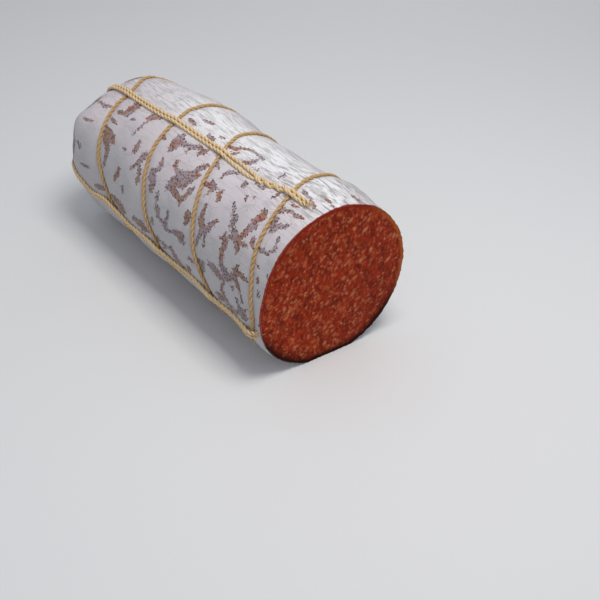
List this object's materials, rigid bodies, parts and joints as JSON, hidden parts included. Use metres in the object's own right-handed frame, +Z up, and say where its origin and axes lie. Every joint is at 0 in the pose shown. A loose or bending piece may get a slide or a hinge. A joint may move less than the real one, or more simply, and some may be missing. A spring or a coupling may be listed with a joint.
{
  "type": "cured sausage",
  "caption": "Thick dry-cured sausage with a pale moulded casing, bound lengthwise and crosswise with straw-coloured twine, its end cut flat to show the meat.",
  "frame": {"origin": "middle of the sausage's footprint, on the surface it rests on", "axes": "+X along the sausage towards its cut end, +Z up"},
  "size_m": [0.209, 0.092, 0.0889],
  "materials": {
    "casing": "matt, with a soft sheen",
    "meat": "moist satin",
    "twine": "matt twisted fibre"
  },
  "bodies": {
    "root": {"sausage": "casing", "loop_1": "twine", "loop_2": "twine", "loop_3": "twine", "loop_4": "twine", "cord_top_left": "twine", "cord_top_right": "twine", "cord_side_left": "twine", "cord_side_right": "twine", "cord_bottom_left": "twine", "cord_bottom_right": "twine", "cord_back_left": "twine", "cord_back_right": "twine", "end_tie": "twine"}
  },
  "joints": []
}
